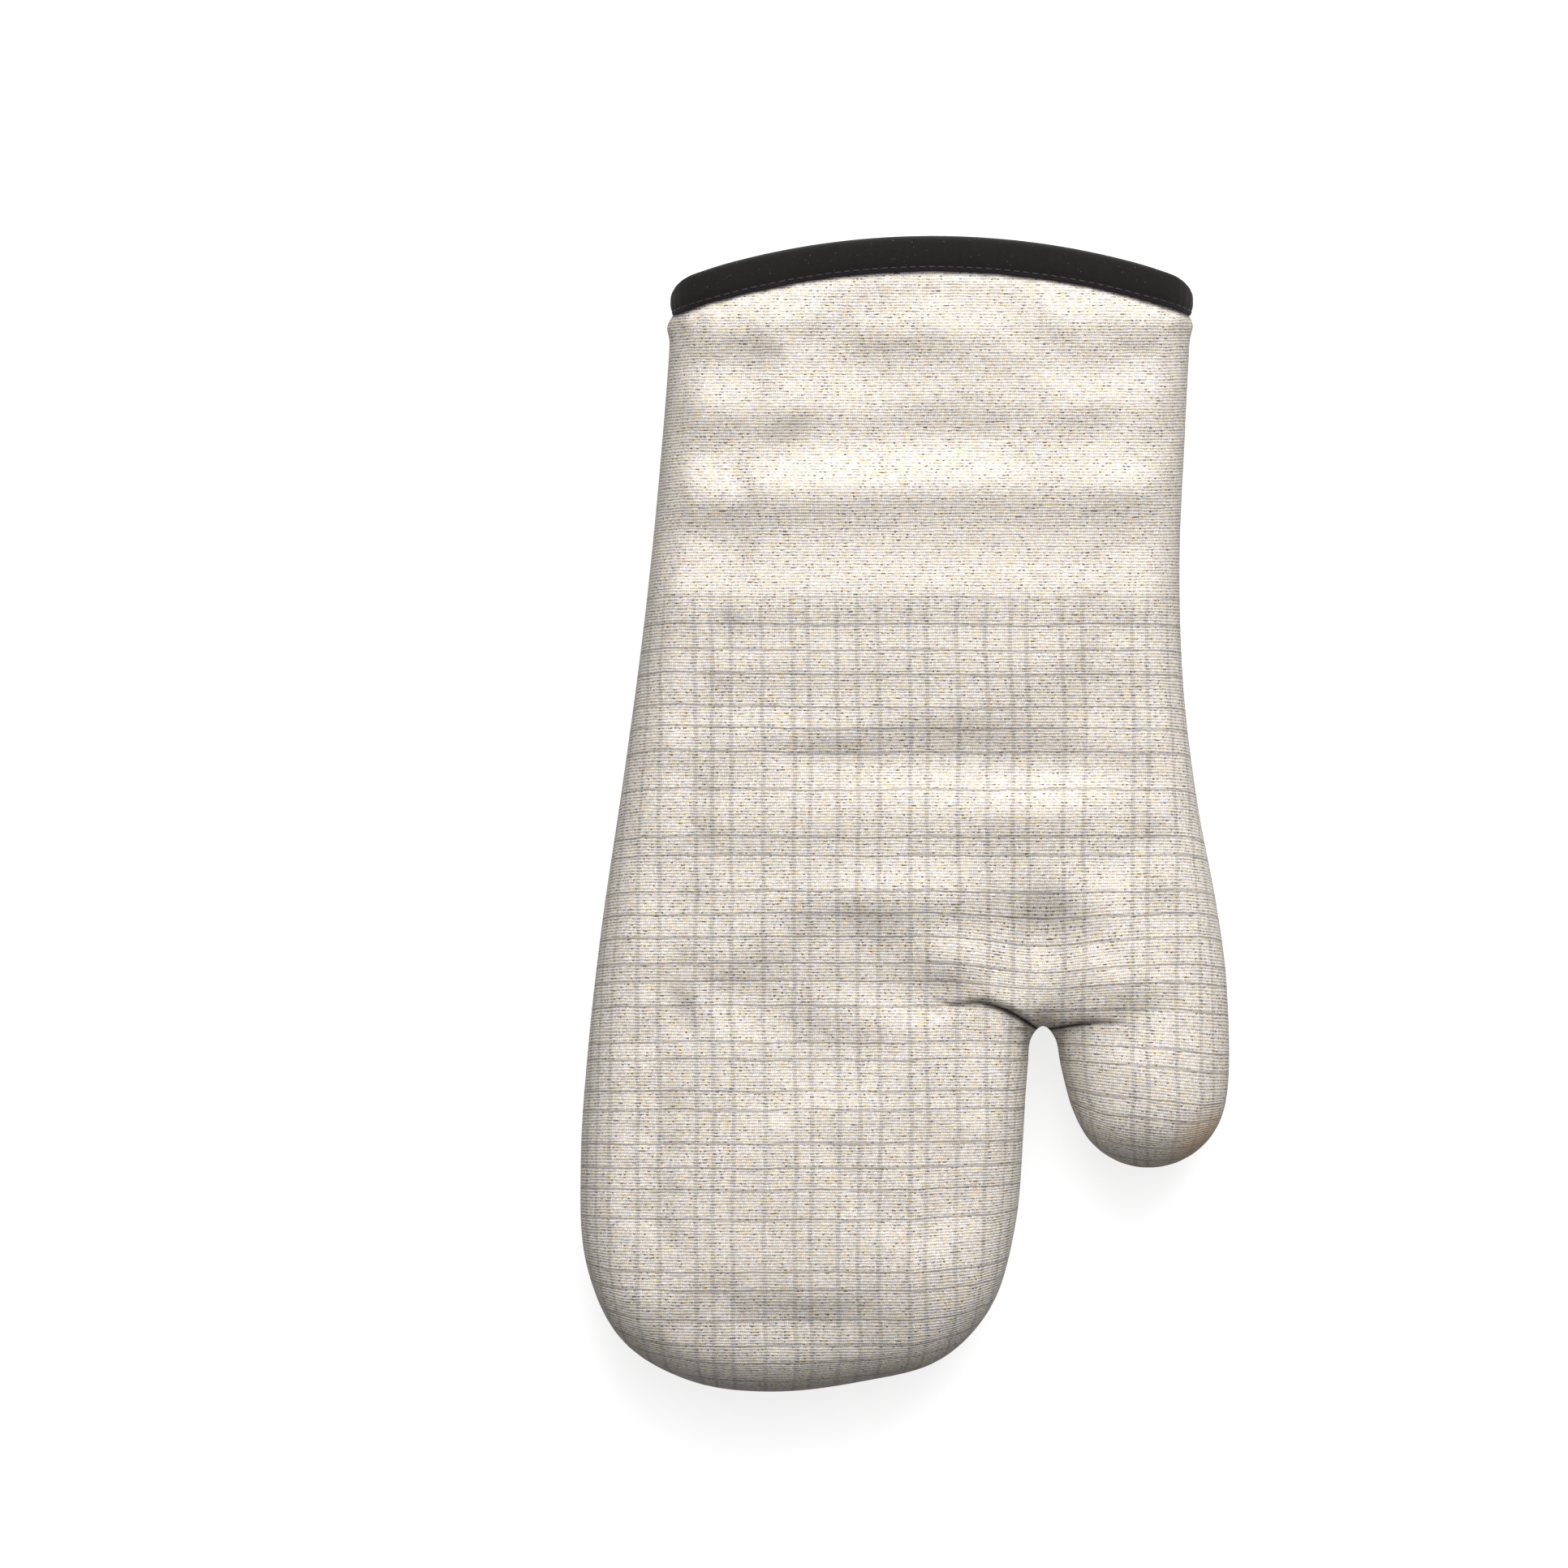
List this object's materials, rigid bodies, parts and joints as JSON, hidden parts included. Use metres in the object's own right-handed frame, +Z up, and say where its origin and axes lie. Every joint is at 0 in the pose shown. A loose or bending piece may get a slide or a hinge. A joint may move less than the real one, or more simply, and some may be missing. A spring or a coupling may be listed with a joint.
{
  "type": "oven mitt",
  "caption": "Padded oven mitt lying flat, with a thumb, an open cuff bound in dark bias tape, and fingers and thumb that fold towards the palm.",
  "frame": {"origin": "on the surface that the mitt lies on, under the centre of its box", "axes": "+Z up out of the surface, +Y from the fingertips towards the cuff, +X towards the thumb side"},
  "size_m": [0.185, 0.3304, 0.047],
  "materials": {
    "cover_cloth": "natural cream cotton canvas, coarse horizontal rib, thin grey irregular check and small golden flecks, matt",
    "wadding": "soft white cotton wadding, matt",
    "lining_cloth": "plain woven natural cotton, matt",
    "seam_cloth": "turned-in raw cloth edges, overlocked, matt",
    "binding_tape": "near-black cotton bias tape, fine diagonal weave, matt",
    "thread": "black sewing thread, slight sheen"
  },
  "bodies": {
    "palm_and_cuff": {"palm_front_cover": "cover_cloth", "palm_front_wadding": "wadding", "palm_front_lining": "lining_cloth", "palm_back_cover": "cover_cloth", "palm_back_wadding": "wadding", "palm_back_lining": "lining_cloth", "seam_allowance_little_finger_side": "seam_cloth", "seam_allowance_crotch": "seam_cloth", "seam_allowance_thumb_side": "seam_cloth", "cuff_binding": "binding_tape", "binding_stitching_outside": "thread", "binding_stitching_inside": "thread"},
    "fingers": {"fingers_front_cover": "cover_cloth", "fingers_front_wadding": "wadding", "fingers_front_lining": "lining_cloth", "fingers_back_cover": "cover_cloth", "fingers_back_wadding": "wadding", "fingers_back_lining": "lining_cloth", "seam_allowance_fingers": "seam_cloth"},
    "thumb": {"thumb_front_cover": "cover_cloth", "thumb_front_wadding": "wadding", "thumb_front_lining": "lining_cloth", "thumb_back_cover": "cover_cloth", "thumb_back_wadding": "wadding", "thumb_back_lining": "lining_cloth", "seam_allowance_thumb": "seam_cloth"}
  },
  "joints": [
    {"name": "finger_fold", "type": "hinge", "parent": "palm_and_cuff", "child": "fingers", "pos_m": [-0.02921, -0.07214, 0.0345], "axis": [-1, 0, 0], "range_deg": [0, 50]},
    {"name": "thumb_fold", "type": "hinge", "parent": "palm_and_cuff", "child": "thumb", "pos_m": [0.06659, -0.04524, 0.0345], "axis": [-0.7071, -0.7071, 0], "range_deg": [0, 40]}
  ]
}
